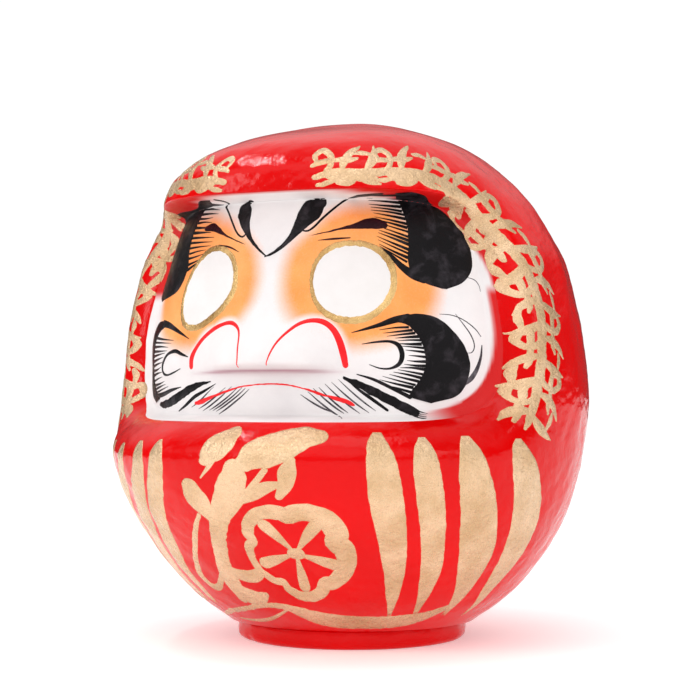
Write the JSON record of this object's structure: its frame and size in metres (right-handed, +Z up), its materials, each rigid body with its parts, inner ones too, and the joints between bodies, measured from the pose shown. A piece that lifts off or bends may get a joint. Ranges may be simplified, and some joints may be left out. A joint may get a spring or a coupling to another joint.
{
  "type": "daruma doll",
  "caption": "Hollow papier-mache daruma doll, a round roly-poly figure with a sunken painted face, standing on a weighted clay foot.",
  "frame": {"origin": "centre of the underside of the foot, on the surface that the doll stands on", "axes": "+Z up, the face looks along -Y, +X to the viewer's right when facing the doll"},
  "size_m": [0.322, 0.3229, 0.3465],
  "materials": {
    "red_lacquer": "glossy red lacquer over moulded paper pulp",
    "red_clay": "glossy red lacquer over fired clay",
    "raw_paper": "unpainted paper",
    "clay": "dry unglazed clay"
  },
  "bodies": {
    "root": {"shell_front": "red_lacquer", "shell_back": "red_lacquer", "seam_strip_left": "raw_paper", "seam_strip_right": "raw_paper", "foot": "red_clay", "clay_weight": "clay", "rod_hole_plug": "raw_paper", "base_seal": "raw_paper"}
  },
  "joints": []
}
